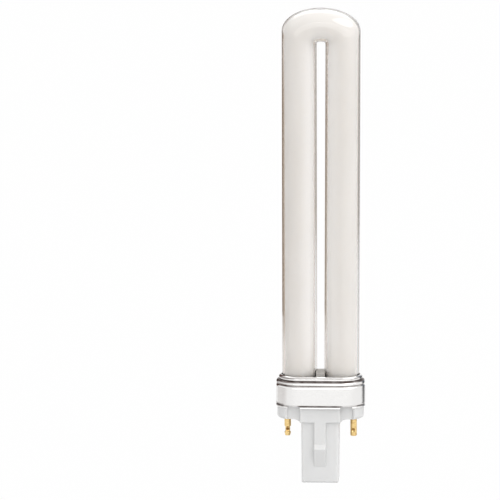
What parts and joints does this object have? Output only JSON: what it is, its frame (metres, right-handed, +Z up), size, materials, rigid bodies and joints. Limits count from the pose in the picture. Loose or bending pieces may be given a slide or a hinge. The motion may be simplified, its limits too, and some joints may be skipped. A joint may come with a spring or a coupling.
{
  "type": "u shaped fluorescent bulb",
  "caption": "Plug-in compact fluorescent lamp: a U-bent white glass tube in a beaded metal shell on a plastic cap with contact pins and a catch-ribbed centre post.",
  "frame": {"origin": "midway between the two contact pins, on the plane of the cap's underside that seats on the lamp holder", "axes": "+Z up along the tube away from the cap, X through both pins and both legs, -Y the front"},
  "size_m": [0.031, 0.017, 0.1668],
  "materials": {
    "coated_glass": "clear glass tube, white coating on its inside",
    "shell_aluminium": "drawn aluminium, satin with polished beads",
    "cement": "grey basing cement",
    "cap_plastic": "light grey moulded plastic",
    "pin_brass": "brass, crimped",
    "starter_glass": "clear glass bottle",
    "capacitor_coat": "dipped lacquer",
    "lead_wire": "bare nickel-plated wire",
    "sleeve": "white insulating sleeve"
  },
  "bodies": {
    "root": {"glass_tube": "coated_glass", "metal_shell": "shell_aluminium", "basing_cement": "cement", "base_housing": "cap_plastic", "contact_pin_left": "pin_brass", "contact_pin_right": "pin_brass", "glow_starter": "starter_glass", "suppression_capacitor": "capacitor_coat", "pin_lead_left": "lead_wire", "pin_lead_right": "lead_wire", "starter_lead_left": "lead_wire", "starter_lead_right": "lead_wire", "lead_sleeve_left": "sleeve", "lead_sleeve_right": "sleeve"}
  },
  "joints": []
}
